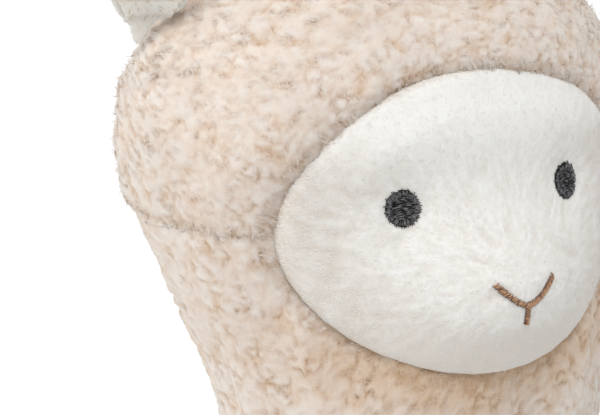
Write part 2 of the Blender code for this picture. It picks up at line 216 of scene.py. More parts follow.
# Stage: lamps placed from the head, the surround and the floor
KEY_PLACE = (-0.25, -0.65, 1.3)
KEY_WATTS = 12.5
SIDE_PLACE = (-1.3, 0.45, 0.4)
SIDE_WATTS = 8
LAMP_SIZE = 1.1
SURROUND_STRENGTH = 0.49
FLOOR_SIZE = 8
FLOOR_GREY = 0.86
FLOOR_GLOW = 0.5

# Camera, as worked out from the photograph
CAMERA_AZIMUTH = -33
CAMERA_ELEVATION = 15
CAMERA_DISTANCE = 0.9
CAMERA_LENS = 200
AIM_RIGHT = -18.9 * MM
AIM_UP = -24.8 * MM

# Screen colours of the finishes
COLOUR = {
    "fleece_tip": (232, 223, 214),
    "fleece_mid": (228, 213, 199),
    # Painted shade: the fleece darkens through the next colours in its crevices, low in its fibres, beside
    # the face and in the seam, and to a painted chin shadow under the chin
    "fleece_root_shade": (222, 199, 176),
    "fleece_deep_shade": (204, 172, 140),
    "fleece_chin_shadow": (182, 148, 116),
    "plush": (250, 249, 245),
    # Painted shade on the face: its creases, edges and chin darken towards the next tone, which its random
    # streaks also reach, and its rim takes the colour after it
    "plush_root": (225, 218, 209),
    "plush_rim_shade": (226, 211, 193),
    "ear": (250, 248, 243),
    "ear_root": (242, 237, 228),
    "lining": (208, 190, 156),
    "lining_root": (176, 154, 126),
    # The eye's light grey is painted highlight on the black thread's tops; the dark root colours of both
    # threads are painted shade by the skin
    "eye": (118, 117, 120),
    "eye_thread_shade": (2, 2, 3),
    "mouth": (202, 158, 121),
    "mouth_thread_shade": (98, 62, 42),
}


def linear(name):
    """Linear colour of one of the toy's screen colours."""
    return tuple(((c / 255 + 0.055) / 1.055) ** 2.4 for c in COLOUR[name]) + (1,)


def show_only(piece):
    """Select one piece and make it active, for the operators."""
    bpy.ops.object.select_all(action="DESELECT")
    piece.select_set(True)
    bpy.context.view_layer.objects.active = piece


def apply_all(piece):
    """Apply a piece's modifiers in order."""
    show_only(piece)
    for name in [m.name for m in piece.modifiers]:
        bpy.ops.object.modifier_apply(modifier=name)


def discard(piece):
    """Remove a helper piece and its mesh."""
    mesh = piece.data
    bpy.data.objects.remove(piece)
    bpy.data.meshes.remove(mesh)


def unit(vectors):
    """Vectors at length one."""
    return vectors / np.maximum(np.linalg.norm(vectors, axis=1), 1e-9)[:, None]


def ramp_up(values, low, high):
    """Smooth step from 0 at low to 1 at high."""
    share = np.clip((values - low) / (high - low), 0, 1)
    return share * share * (3 - 2 * share)


def band(values, edges):
    """Smooth rise and fall of a value: 0 at the outer edges, 1 at the middle one."""
    low, top, high = edges
    return ramp_up(values, low, top) * (1 - ramp_up(values, top, high))


def noises(places, size):
    """Smooth noise of one size at each place."""
    return np.array([noise.noise(Vector(p) / size) for p in places])


def everywhere(places):
    """1 at every place, for fibres that grow all over a piece."""
    return np.ones(len(places))


def grid(piece):
    """Places and normals of a piece's vertices, as arrays."""
    count = len(piece.data.vertices)
    places = np.empty(count * 3)
    normals = np.empty(count * 3)
    piece.data.vertices.foreach_get("co", places)
    piece.data.vertices.foreach_get("normal", normals)
    return places.reshape(-1, 3), normals.reshape(-1, 3)


def settle(piece, places):
    """Move a piece's vertices to new places."""
    piece.data.vertices.foreach_set("co", places.ravel())
    piece.data.update()


def mark(piece, name, values):
    """Store one number for each vertex, for the material to read."""
    layer = piece.data.attributes.new(name, "FLOAT", "POINT")
    layer.data.foreach_set("value", np.asarray(values, dtype=np.float32))


def bag(node, name, voxel, rounds):
    """Soft copy of a CAD solid: merged, melted into even quads and smoothed."""
    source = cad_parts[node]
    piece = bpy.data.objects.new(name, source.data.copy())
    bpy.context.collection.objects.link(piece)
    piece.data.materials.clear()
    show_only(piece)
    bpy.ops.object.mode_set(mode="EDIT")
    bpy.ops.mesh.select_all(action="SELECT")
    bpy.ops.mesh.remove_doubles(threshold=0.00001)
    bpy.ops.object.mode_set(mode="OBJECT")
    melt = piece.modifiers.new("melt", "REMESH")
    melt.mode = "VOXEL"
    melt.voxel_size = voxel
    soften = piece.modifiers.new("soften", "SMOOTH")
    soften.factor = 0.5
    soften.iterations = rounds
    apply_all(piece)
    piece.data.shade_smooth()
    return piece


def stuff(piece, held):
    """Let stuffing push the cloth out between its seams, by a cloth simulation on a coarse cage."""
    cage = bpy.data.objects.new("cage", piece.data.copy())
    bpy.context.collection.objects.link(cage)
    coarse = cage.modifiers.new("coarse", "REMESH")
    coarse.mode = "VOXEL"
    coarse.voxel_size = CAGE_VOXEL
    apply_all(cage)
    before, normals = grid(cage)
    before = before - normals * TUCK * (1 - held(before))[:, None]
    settle(cage, before)
    pins = cage.vertex_groups.new(name="seams")
    for index in np.flatnonzero(held(before) > 0.5):
        pins.add([int(index)], 1, "REPLACE")
    cloth = cage.modifiers.new("stuffing", "CLOTH")
    cloth.settings.use_pressure = True
    cloth.settings.uniform_pressure_force = STUFFING_PRESSURE
    cloth.settings.vertex_group_mass = "seams"
    cloth.settings.effector_weights.gravity = 0
    cloth.point_cache.frame_start = 1
    cloth.point_cache.frame_end = STUFFING_FRAMES
    scene = bpy.context.scene
    for step in range(1, STUFFING_FRAMES + 1):
        scene.frame_set(step)
    blown = cage.evaluated_get(bpy.context.evaluated_depsgraph_get()).data
    after = np.empty(len(blown.vertices) * 3)
    blown.vertices.foreach_get("co", after)
    moves = after.reshape(-1, 3) - before
    size = np.maximum(np.linalg.norm(moves, axis=1), 1e-9)
    moves *= np.minimum(1, STUFFING_CAP / size)[:, None]
    free = 1 - held(before)
    swell = (moves * normals).sum(axis=1) * free
    moves -= normals * (free * swell.sum() / free.sum())[:, None]
    tree = KDTree(len(before))
    for index, place in enumerate(before):
        tree.insert(place, index)
    tree.balance()
    places, _ = grid(piece)
    carried = np.empty_like(places)
    for index, place in enumerate(places):
        near = tree.find_n(place, 5)
        weights = np.array([1 / (distance + CAGE_VOXEL / 4) ** 2 for _, _, distance in near])
        carried[index] = (moves[[i for _, i, _ in near]] * weights[:, None]).sum(axis=0) / weights.sum()
    settle(piece, places + carried)
    scene.frame_set(1)
    discard(cage)


def face_reach(places):
    """0 at the face panel's middle, 1 on its outline, more outside; 9 behind the head's axis."""
    across = (places[:, 0] - FACE_MIDDLE.x) / FACE_HALF_WIDTH
    along = (places[:, 2] - FACE_MIDDLE.z) / FACE_HALF_HEIGHT
    reach = np.hypot(across, along)
    reach[places[:, 1] > HEAD_AXIS.y] = 9
    return reach


def towards_face(places):
    """Directions to the face's middle, seen from the front, and how far each place lies under the chin."""
    inward = np.array(FACE_MIDDLE) - places
    inward[:, 1] = 0
    inward = unit(inward)
    return inward, ramp_up(inward[:, 2], 0.2, 0.8)


def painted_rim_and_seam_shade(places, tones):
    """Pile tones with painted shade: darker beside the face, a painted chin shadow under it, and painted
    shade in the seam.
    """
    reach = face_reach(places)
    below = ramp_up(FACE_MIDDLE.z - places[:, 2], 0.4 * FACE_HALF_HEIGHT, FACE_HALF_HEIGHT)
    beside = ramp_up(reach, 0.96, 1.06)
    under = ramp_up(reach, 1.0, 1.6)
    shade = (RIM_SHADE + (1 - RIM_SHADE) * beside) * (1 - below)
    shade += (CHIN_SHADE + (1 - CHIN_SHADE) * under) * below
    seam = np.exp(-((places[:, 2] - SEAM_LEVEL) / SEAM_SHADE_WIDTH) ** 2)
    return tones * shade * (1 - SEAM_SHADE * seam)


def cell_at(place, size, flatness):
    """Height of the clumps of one size at a place, 0 in a crevice to 1 on top, and the clump's middle."""
    warp = noise.noise_vector(place / (1.4 * CLUMP)) * 0.38 * CLUMP
    warp += noise.noise_vector(place / (0.5 * CLUMP)) * 0.14 * CLUMP
    drift = noise.noise_vector(place / (5 * CLUMP)) * 0.7 * CLUMP
    spot = (place + warp + drift) / size
    spot.z *= flatness
    distances, points = noise.voronoi(spot)
    gap = min((distances[1] - distances[0]) / 0.6, 1)
    sharp = min(max(0.55 + 0.8 * noise.noise(place / CLUMP), 0.2), 0.9)
    fine = noise.noise(place / (0.3 * CLUMP))
    height = 1 - sharp * (1 - gap) ** 1.6 + 0.08 * fine - 0.12 * distances[0]
    middle = points[0].copy()
    middle.z /= flatness
    middle = middle * size - warp - drift
    return min(max(height, 0), 1), middle


def lock_share(place):
    """0 for the round curls beside the face and on the body, 1 for the combed locks of the crown."""
    across = (place.x - FACE_MIDDLE.x) / FACE_HALF_WIDTH
    along = (place.z - FACE_MIDDLE.z) / FACE_HALF_HEIGHT
    away = math.hypot(across, along) if place.y < HEAD_AXIS.y else LOCK_END
    share = min(max((away - LOCK_START) / (LOCK_END - LOCK_START), 0), 1)
    return share * min(max((place.z - SEAM_LEVEL) / SEAM_SPREAD, 0), 1)


def clump_at(place):
    """Height of the pile at a place and the middle of the curl or lock that it belongs to."""
    share = lock_share(place)
    height, middle = 0, Vector((0, 0, 0))
    if share < 1:
        height, middle = cell_at(place, CLUMP, CLUMP_FLATNESS)
    if share > 0:
        lock, along = cell_at(place, LOCK, LOCK_FLATNESS)
        height += (lock - height) * share
        middle += (along - middle) * share
    return height, middle


# Normals of each fleece bag before its clumps were raised, which its fibres stand on
UNDER = {}


def fleece(piece, outer):
    """Raise clumps on a bag's outer skin and mark how high the pile stands, with shade painted in its
    crevices, by the face and in the seam.
    """
    places, normals = grid(piece)
    away = (places[:, 2] - SEAM_LEVEL) / SEAM_SPREAD
    level = SEAM_LEVELLING * np.exp(-away * away) * (np.abs(normals[:, 2]) < 0.9)
    normals[:, 2] *= 1 - level
    normals = unit(normals)
    heights = np.array([clump_at(Vector(p))[0] for p in places])
    drifts = noises(places, DRIFT)
    rise = outer * ((heights - 0.6) * CLUMP_DEPTH + drifts * DRIFT_DEPTH - PILE_SINK)
    settle(piece, places + normals * rise[:, None])
    # Painted shade: low pile, the face's rim, the chin's shadow and the seam take the darker fleece
    # colours
    mark(piece, "pile", painted_rim_and_seam_shade(places, 0.15 + 0.85 * heights))
    UNDER[piece.name] = normals
    own = grid(piece)[1]
    piece.data.normals_split_custom_set_from_vertices(unit(normals * SOFTNESS + own * (1 - SOFTNESS)))


def groove(piece, towards):
    """Close a panel on the seam round the head, draw it in there, and roll it over the face's rim."""
    places, normals = grid(piece)
    away = (places[:, 2] - SEAM_LEVEL) / SEAM_SPREAD
    near = np.exp(-away * away)
    upright = np.abs(normals[:, 2]) < 0.8
    reach = face_reach(places)
    inward, chin = towards_face(places)
    roll = band(reach, ROLL_BAND) * (1 - 0.8 * chin)
    lean = band(reach, LEAN_BAND) * (1 - 0.2 * chin)
    dip = band(reach, DIP_BAND) * chin
    moves = normals * (RIM_PUFF * roll - CHIN_DIP * dip - upright * SEAM_GROOVE * near)[:, None]
    moves += inward * (RIM_LEAN * lean)[:, None]
    moves[:, 2] += towards * SEAM_CLOSE * near
    settle(piece, places + moves)


def scatter(piece, count, seed, keep):
    """Random places on a piece's faces with normals, thinned by keep, and the random source."""
    rng = np.random.default_rng(seed)
    piece.data.calc_loop_triangles()
    triangles = np.empty(len(piece.data.loop_triangles) * 3, dtype=np.int32)
    piece.data.loop_triangles.foreach_get("vertices", triangles)
    triangles = triangles.reshape(-1, 3)
    places, normals = grid(piece)
    normals = UNDER.get(piece.name, normals)
    corners = places[triangles]
    sides = np.cross(corners[:, 1] - corners[:, 0], corners[:, 2] - corners[:, 0])
    areas = np.linalg.norm(sides, axis=1) * keep(corners.mean(axis=1))
    picked = rng.choice(len(triangles), count, p=areas / areas.sum())
    share = rng.dirichlet((1, 1, 1), count)[:, :, None]
    spots = (corners[picked] * share).sum(axis=1)
    ups = unit((normals[triangles[picked]] * share).sum(axis=1))
    return spots, ups, rng


def fibres(name, spots, ups, leans, lengths, widths, lifts, turns, sunk, tone, own_share=0.07):
    """Fine fibres, each a tapered ribbon of three triangles that leans, lifts and curls."""
    count = len(spots)
    forward = unit(leans - ups * (leans * ups).sum(axis=1)[:, None])
    cross = np.cross(ups, forward)
    root = spots - ups * sunk
    half = (lengths / 2)[:, None]

    def going(turn, lift):
        flat = forward * np.cos(turn)[:, None] + cross * np.sin(turn)[:, None]
        return flat * np.cos(lift)[:, None] + ups * np.sin(lift)[:, None]

    first = going(-turns / 2, lifts)
    second = going(turns / 2, -0.35 * lifts)
    middle = root + first * half
    tip = middle + second * half
    side_root = unit(np.cross(first, ups)) * (widths / 2)[:, None]
    side_middle = unit(np.cross(first + second, ups)) * (widths / 2)[:, None]
    corners = [root - side_root, root + side_root, middle - side_middle, middle + side_middle, tip]
    vertices = np.stack(corners, axis=1)
    base = np.arange(count) * 5
    quads = np.stack([base, base + 1, base + 3, base + 2], axis=1)
    points = np.stack([base + 2, base + 3, base + 4], axis=1)
    mesh = bpy.data.meshes.new(name)
    mesh.from_pydata(vertices.reshape(-1, 3).tolist(), [], quads.tolist() + points.tolist())
    mesh.shade_smooth()
    piece = bpy.data.objects.new(name, mesh)
    bpy.context.collection.objects.link(piece)
    own = grid(piece)[1]
    soft = np.repeat(ups, 5, axis=0)
    own = own * np.sign((own * soft).sum(axis=1))[:, None]
    mesh.normals_split_custom_set_from_vertices(unit(soft * (1 - own_share) + own * own_share))
    # Painted shade: each fibre's colour darkens from tip to root
    rise = np.tile([0, 0, 0.55, 0.55, 1], count)
    mark(piece, "pile", np.repeat(tone, 5) * 0.7 + rise * 0.35)
    return piece


def curls(name, piece, keep, kind=None):
    """Fine curled fibres over a fleece bag, turned round the clump that they grow on."""
    count, seed, coarse = CURLS[kind or name]
    spots, ups, rng = scatter(piece, count, seed, keep)
    tones = np.empty(count)
    locks = np.empty(count)
    leans = np.empty((count, 3))
    for index, spot in enumerate(spots):
        place = Vector(spot)
        up = Vector(ups[index])
        tones[index], middle = clump_at(place)
        locks[index] = lock_share(place)
        inward = middle - place
        swirl = SWIRL * (noise.cell(middle * TUFT_SCALE) - 0.5) * (1 - 0.8 * locks[index])
        level = up.cross(Vector((0, 0, 1))) * CLUMP * 1.2 * noise.noise(place / (2.5 * CLUMP))
        leans[index] = inward + up.cross(inward) * swirl + level
    leans += rng.normal(0, FIBRE_STRAY, (count, 3))
    lengths = coarse * FIBRE_LENGTH * rng.uniform(0.55, 1.2, count)
    lengths *= (0.6 + 0.4 * tones) * (1 + 0.3 * locks)
    # Painted shade: fibres are darker in the crevices, beside the face, under the chin and in the seam,
    # plus random tone
    tones = painted_rim_and_seam_shade(spots, 0.2 + 0.8 * tones) + rng.normal(0, FIBRE_TONES, count)
    fuzz = rng.random(count) < FUZZ_SHARE
    widths = coarse * FIBRE_WIDTH * rng.uniform(0.6, 1.3, count) * np.where(fuzz, FUZZ_WIDTH, 1)
    lengths *= np.where(fuzz, FUZZ_LENGTH, 1)
    flat = rng.uniform(0.04, 0.3, count) * (1 - 0.5 * locks)
    lifts = np.where(fuzz, rng.uniform(0.4, 0.9, count), flat)
    turns = rng.normal(0, 1.3, count) * (1 - 0.5 * locks)
    # Painted light: the fuzz fibres are lighter
    tones += 0.3 * fuzz
    return fibres(name, spots, ups, leans, lengths, widths, lifts, turns, 0.25 * MM, tones, 0.08)


def edge_curls(name, piece, keep):
    """Longer fibres along a panel's sewn edges, which lean over the seam and over the face's rim."""

    def at_edge(places):
        seam = (np.abs(places[:, 2] - SEAM_LEVEL) < SEAM_EDGE) * SEAM_EDGE_SHARE
        rim = (face_reach(places) < RIM_REACH) * RIM_EDGE_SHARE
        return keep(places) * np.maximum(seam, rim)

    count, seed = EDGE_CURLS[name]
    spots, ups, rng = scatter(piece, count, seed, at_edge)
    at_rim = face_reach(spots) < RIM_REACH
    inward, chin = towards_face(spots)
    across = np.zeros_like(spots)
    across[:, 2] = np.sign(SEAM_LEVEL - spots[:, 2])
    tones = np.empty(count)
    tufts = np.empty((count, 3))
    for index, spot in enumerate(spots):
        tones[index], middle = clump_at(Vector(spot))
        tufts[index] = noise.cell_vector(middle * TUFT_SCALE)
    leans = np.where(at_rim[:, None], inward, across) + rng.normal(0, 0.35, (count, 3))
    leans += 1.2 * (tufts - 0.5)
    # Painted shade: darker in the crevices, beside the face, under the chin and in the seam
    tones = painted_rim_and_seam_shade(spots, tones)
    lengths = FIBRE_LENGTH * rng.uniform(0.7, 1.1, count)
    lengths *= (1 - 0.5 * at_rim * chin) * (0.5 + 1.2 * tufts[:, 0])
    widths = FIBRE_WIDTH * rng.uniform(0.6, 1.4, count)
    lifts = rng.uniform(0.2, 0.85, count)
    turns = rng.normal(0, 1.2, count)
    return fibres(name, spots, ups, leans, lengths, widths, lifts, turns, 0.3 * MM, tones)


def nap(name, piece, keep, lean, kind, own_share=0.07):
    """Short straight pile over a plush piece, leaning one way."""
    count, seed = NAPS[kind]
    spots, ups, rng = scatter(piece, count, seed, keep)
    flow = np.array([noise.noise_vector(Vector(p) / NAP_FLOW) for p in spots])
    leans = lean(spots) + 0.5 * flow + rng.normal(0, 0.25, (count, 3))
    lengths = NAP_LENGTH * rng.uniform(0.6, 1.2, count)
    widths = NAP_WIDTH * rng.uniform(0.7, 1.3, count)
    lifts = NAP_LIFT * rng.uniform(0.4, 1.4, count)
    turns = rng.normal(0, 0.4, count)
    tones = 0.5 + 0.5 * rng.random(count)
    return fibres(name, spots, ups, leans, lengths, widths, lifts, turns, 0.2 * MM, tones, own_share)


def new_material(name, roughness, sheen, tint):
    """Material with a cloth sheen, and its node tree and shader to build on."""
    made = bpy.data.materials.new(name)
    made.use_nodes = True
    tree = made.node_tree
    shader = tree.nodes["Principled BSDF"]
    shader.inputs["Roughness"].default_value = roughness
    shader.inputs["Sheen Weight"].default_value = sheen
    shader.inputs["Sheen Roughness"].default_value = 0.4
    shader.inputs["Sheen Tint"].default_value = tint
    shader.inputs["Specular IOR Level"].default_value = 0.12
    return made, tree, shader


def add(tree, kind, **values):
    """Add a node, setting its properties and, by socket name, its inputs."""
    node = tree.nodes.new(kind)
    for key, value in values.items():
        if hasattr(node, key):
            setattr(node, key, value)
        else:
            node.inputs[key.replace("_", " ")].default_value = value
    return node


def ramp(tree, source, stops):
    """Colour ramp over a value."""
    node = tree.nodes.new("ShaderNodeValToRGB")
    elements = node.color_ramp.elements
    while len(elements) < len(stops):
        elements.new(0.5)
    for element, (place, colour) in zip(elements, stops):
        element.position = place
        element.color = colour
    tree.links.new(source, node.inputs["Fac"])
    return node.outputs["Color"]


def pile_group():
    """Shared effect: a value from the pile's own height and a fine fibre noise, and the noise alone."""
    group = bpy.data.node_groups.new("pile_fibre", "ShaderNodeTree")
    for name in ("Pile", "Scale", "Amount"):
        group.interface.new_socket(name, in_out="INPUT", socket_type="NodeSocketFloat")
    for name in ("Tone", "Fibre"):
        group.interface.new_socket(name, in_out="OUTPUT", socket_type="NodeSocketFloat")
    start = group.nodes.new("NodeGroupInput")
    end = group.nodes.new("NodeGroupOutput")
    coords = group.nodes.new("ShaderNodeTexCoord")
    fibre = add(group, "ShaderNodeTexNoise", Detail=3, Roughness=0.65, Distortion=1.5)
    group.links.new(coords.outputs["Object"], fibre.inputs["Vector"])
    group.links.new(start.outputs["Scale"], fibre.inputs["Scale"])
    centred = add(group, "ShaderNodeMath", operation="SUBTRACT")
    centred.inputs[1].default_value = 0.5
    group.links.new(fibre.outputs["Fac"], centred.inputs[0])
    mixed = add(group, "ShaderNodeMath", operation="MULTIPLY_ADD")
    group.links.new(centred.outputs[0], mixed.inputs[0])
    group.links.new(start.outputs["Amount"], mixed.inputs[1])
    group.links.new(start.outputs["Pile"], mixed.inputs[2])
    group.links.new(mixed.outputs[0], end.inputs["Tone"])
    group.links.new(fibre.outputs["Fac"], end.inputs["Fibre"])
    return group


PILE_GROUP = pile_group()


def pile_material(name, stops, scale, amount, depth, glow, sheen=0.3, roughness=0.95):
    """Cloth whose colour follows its pile value, with the shade painted into it, and with fibre noise,
    bump and light that sinks in.
    """
    made, tree, shader = new_material(name, roughness, sheen, (1.0, 0.975, 0.94, 1))
    pile = add(tree, "ShaderNodeAttribute", attribute_name="pile")
    effect = tree.nodes.new("ShaderNodeGroup")
    effect.node_tree = PILE_GROUP
    effect.inputs["Scale"].default_value = scale
    effect.inputs["Amount"].default_value = amount
    tree.links.new(pile.outputs["Fac"], effect.inputs["Pile"])
    colours = [(place, linear(colour)) for place, colour in stops]
    tree.links.new(ramp(tree, effect.outputs["Tone"], colours), shader.inputs["Base Color"])
    bump = add(tree, "ShaderNodeBump", Strength=0.5, Distance=depth)
    tree.links.new(effect.outputs["Fibre"], bump.inputs["Height"])
    tree.links.new(bump.outputs["Normal"], shader.inputs["Normal"])
    shader.inputs["Subsurface Weight"].default_value = glow
    shader.inputs["Subsurface Radius"].default_value = (1.0, 0.9, 0.8)
    shader.inputs["Subsurface Scale"].default_value = 3 * MM
    return made


# Each finish: its colours by the pile value, which carries painted shade, then noise scale and amount,
# bump depth and glow
FLEECE_STOPS = [
    (0, "fleece_chin_shadow"),
    (0.12, "fleece_deep_shade"),
    (0.3, "fleece_root_shade"),
    (0.6, "fleece_mid"),
    (0.95, "fleece_tip"),
]
FLEECE = pile_material("fleece", FLEECE_STOPS, 700, 0.3, 0.0002, 0.7, sheen=0.2)
FIBRE = pile_material("fleece_fibre", FLEECE_STOPS, 300, 0.2, 0.0001, 0.0, sheen=0.2)
PLUSH_STOPS = [(0.05, "plush_rim_shade"), (0.35, "plush_root"), (0.8, "plush")]
PLUSH = pile_material("face_plush", PLUSH_STOPS, 1100, 0.25, 0.0002, 0.3)
PLUSH_FIBRE = pile_material("face_nap", PLUSH_STOPS, 500, 0.15, 0.0001, 0.0)
EAR_STOPS = [(0.2, "ear_root"), (0.8, "ear")]
EAR = pile_material("ear_plush", EAR_STOPS, 1100, 0.3, 0.0003, 0.5)
EAR_FIBRE = pile_material("ear_nap", EAR_STOPS, 500, 0.3, 0.0001, 0.0)
LINING_STOPS = [(0.1, "lining_root"), (0.5, "lining"), (0.95, "ear_root")]
LINING = pile_material("ear_lining", LINING_STOPS, 1100, 0.2, 0.0003, 0.5)
LINING_FIBRE = pile_material("lining_nap", LINING_STOPS, 500, 0.3, 0.0001, 0.0)
EYE_STOPS = [(0.2, "eye_thread_shade"), (0.8, "eye")]
EYE = pile_material("eye_thread", EYE_STOPS, 900, 0.5, 0.0001, 0.0, sheen=0, roughness=0.4)
MOUTH_STOPS = [(0.2, "mouth_thread_shade"), (0.8, "mouth")]
MOUTH = pile_material("mouth_thread", MOUTH_STOPS, 900, 0.5, 0.0001, 0.0, sheen=0.1, roughness=0.5)
for thread, gloss in ((EYE, 0.2), (MOUTH, 0.5)):
    thread.node_tree.nodes["Principled BSDF"].inputs["Specular IOR Level"].default_value = gloss


def put(piece, material, slot, *nodes):
    """Give a piece its material and its place in the frame."""
    piece.data.materials.clear()
    piece.data.materials.append(material)
    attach(piece, "root")
    if nodes:
        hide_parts(*nodes)


def ear_base(places):
    """1 on the crown at the ears' feet, falling to 0 round them."""
    near = np.zeros(len(places))
    for side in ("left", "right"):
        low, high = (np.array(corner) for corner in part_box("ear_%s_shell" % side))
        foot = (low + high) / 2
        foot[2] = low[2] + EAR_SUNK
        foot[0] -= np.sign(foot[0]) * EAR_LEAN
        away = np.linalg.norm(places - foot, axis=1)
        near = np.maximum(near, 1 - ramp_up(away, 0.6 * EAR_BASE, 1.3 * EAR_BASE))
    return near


def build_crown():
    """Fleece cap of the head, above the seam."""

    def held(places):
        at_seam = places[:, 2] < SEAM_LEVEL + SEAM_HOLD
        return np.maximum(face_reach(places) < FACE_HOLD, at_seam).astype(float)

    def cap(places):
        return (face_reach(places) > FLEECE_START) * (places[:, 2] > SEAM_LEVEL - SEAM_OVERLAP)

    crown = bag("crown_fleece", "crown", *CLOTH["crown"])
    stuff(crown, held)
    feet = crown.vertex_groups.new(name="ear_feet")
    places, _ = grid(crown)
    near = ear_base(places)
    for index in np.flatnonzero(near):
        feet.add([int(index)], near[index], "REPLACE")
    close = crown.modifiers.new("close", "SMOOTH")
    close.vertex_group = "ear_feet"
    close.iterations = EAR_ROUNDS
    apply_all(crown)
    places, _ = grid(crown)
    above = ramp_up(places[:, 2] - SEAM_LEVEL, 0, 1 * MM)
    outer = ramp_up(face_reach(places), FLEECE_START, FLEECE_FULL) * above
    groove(crown, -1)
    fleece(crown, outer)
    put(crown, FLEECE, "fleece", "crown_fleece")
    put(curls("crown_curls_fine", crown, cap), FIBRE, "fleece")
    put(curls("crown_curls_long", crown, cap), FIBRE, "fleece")
    put(edge_curls("crown_edge_curls", crown, cap), FIBRE, "fleece")
    put(curls("ear_base_curls", crown, ear_base), FIBRE, "fleece")


def build_body():
    """Fleece of the neck and torso, below the seam."""

    def held(places):
        at_seam = places[:, 2] > SEAM_LEVEL - SEAM_HOLD
        return np.maximum(face_reach(places) < FACE_HOLD, at_seam).astype(float)

    def neck(places):
        levels = places[:, 2]
        return (face_reach(places) > FLEECE_START) * (levels < SEAM_LEVEL) * (levels > NECK_FOOT)

    def torso(places):
        return places[:, 2] < NECK_FOOT

    body = bag("body_fleece", "body", *CLOTH["body"])
    stuff(body, held)
    places, _ = grid(body)
    below = ramp_up(SEAM_LEVEL - places[:, 2], 0.8 * MM, 1.8 * MM)
    outer = ramp_up(face_reach(places), FLEECE_START, FLEECE_FULL) * below
    groove(body, 1)
    fleece(body, outer)
    put(body, FLEECE, "fleece", "body_fleece")
    put(curls("neck_curls", body, neck), FIBRE, "fleece")
    put(edge_curls("neck_edge_curls", body, neck), FIBRE, "fleece")
    put(curls("torso_curls", body, torso), FIBRE, "fleece")


def line_fall(places, start, end):
    """1 on a line drawn on the face, falling to 0 beside it and past its ends; in mm from its middle."""
    flat = (places[:, [0, 2]] - (FACE_MIDDLE.x, FACE_MIDDLE.z)) / MM
    start, end = np.array(start), np.array(end)
    along = end - start
    share = np.clip((flat - start) @ along / (along @ along), 0, 1)
    beside = np.linalg.norm(flat - start - share[:, None] * along, axis=1)
    return np.exp(-(beside * MM / CREASE_WIDTH) ** 2) * np.sin(np.pi * (0.1 + 0.8 * share))


def nap_keep(places):
    """Where the face's nap grows: in front, not under the eyes' threads, and hardly on the chin."""
    keep = (places[:, 1] < HEAD_AXIS.y - 20 * MM).astype(float)
    for side in ("left", "right"):
        low, high = (np.array(corner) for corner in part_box("eye_" + side))
        middle = (low + high) / 2
        keep *= np.hypot(places[:, 0] - middle[0], places[:, 2] - middle[2]) > 0.95 * EYE_RADIUS
    return keep * (1 - 0.9 * ramp_up(FACE_MIDDLE.z - places[:, 2], CHIN_TOP, CHIN_NAP_FOOT))


def build_face():
    """Plush face panel, filling its pocket in the fleece, with a low nap."""
    face = bag("face_plush", "face", *CLOTH["face"])
    places, normals = grid(face)
    reach = face_reach(places)
    outward = places - np.array(FACE_MIDDLE)
    outward[:, 1] = 0
    rim = ramp_up(reach, 0.8, 1.0)
    fine = noises(places, FACE_FINE)
    muzzle = np.array([0, MOUTH_LOW.y, MOUTH_HIGH.z])
    spokes = np.arctan2(places[:, 0], places[:, 2] - muzzle[2]) * STREAKS
    rings = np.linalg.norm(places - muzzle, axis=1) / STREAK_LENGTH
    streaks = np.array([noise.noise(Vector((a, b, 0))) for a, b in zip(spokes, rings)])
    brow = (places[:, 2] - FACE_MIDDLE.z) / FACE_HALF_HEIGHT - BROW_PLACE
    swell = BROW_SWELL * np.exp(-(brow / BROW_SPREAD) ** 2) * (1 - ramp_up(reach, 0.75, 1.0))
    chin = ramp_up(FACE_MIDDLE.z - places[:, 2], CHIN_TOP, CHIN_FOOT)
    sunk = np.zeros(len(places))
    for start, end, depth in FACE_CREASES:
        sunk += depth * line_fall(places, start, end)
    rise = swell + fine * 0.06 * MM + streaks * STREAK_DEPTH * (1 - chin) - sunk
    settle(face, places + unit(outward) * (rim * 1.1 * MM)[:, None] + normals * rise[:, None])
    smooth = 1 - np.maximum(chin, 0.7 * ramp_up(brow, -0.4, 0.1))
    # Painted highlight: the brow is kept lighter; the streaks are random tone
    tones = 0.9 - 0.2 * smooth + (0.12 * fine + 0.22 * streaks) * smooth
    # Painted shade in the creases and on the chin
    tones -= 0.25 * sunk / MM + 0.45 * chin
    # Painted shade towards the face's edges
    tones -= 0.3 * ramp_up(reach, 0.5, 1.0) * smooth
    # Painted shade along the rim, which takes the rim colour
    mark(face, "pile", tones * (1 - ramp_up(reach, 0.97, 1.03)))
    put(face, PLUSH, "face_plush", "face_plush")
    hairs = nap("face_nap", face, nap_keep, lambda p: unit(p - muzzle) * 1.2, "face_nap", FACE_NAP_OWN)
    put(hairs, PLUSH_FIBRE, "face_plush")
    return face


def threads(name, runs, thickness, skin):
    """Sewn threads: a run of points for each stitch, made a mesh; pile marks how far they stand out, so
    they darken towards the skin as painted shade, with random painted glints.
    """
    curve = bpy.data.curves.new(name, "CURVE")
    curve.dimensions = "3D"
    curve.bevel_depth = thickness / 2
    curve.bevel_resolution = 1
    curve.use_fill_caps = True
    for run in runs:
        spline = curve.splines.new("POLY")
        spline.points.add(len(run) - 1)
        for index, (point, place) in enumerate(zip(spline.points, run)):
            point.co = (*place, 1)
            at_end = index in (0, len(run) - 1)
            point.radius = 0.55 if at_end else 1
    piece = bpy.data.objects.new(name, curve)
    bpy.context.collection.objects.link(piece)
    show_only(piece)
    bpy.ops.object.convert(target="MESH")
    piece = bpy.context.view_layer.objects.active
    piece.data.shade_smooth()
    places, _ = grid(piece)
    heights = np.empty(len(places))
    shine = np.empty(len(places))
    for index, place in enumerate(places):
        near, normal, _, _ = skin.find_nearest(place)
        heights[index] = (Vector(place) - near).dot(normal)
        shine[index] = 0.7 + 0.9 * noise.noise(Vector(place) / THREAD_SHINE)
    # Painted shade where the threads lie low by the skin, and painted glints at random on them
    mark(piece, "pile", ramp_up(heights, 0.15 * MM, THREAD_TOP) * shine)
    return piece


def lay(skin, place, towards, height):
    """Point of the skin under a place, looking along a direction, raised by a height."""
    hit, normal, _, _ = skin.ray_cast(place - towards * 40 * MM, towards)
    return hit + normal * height


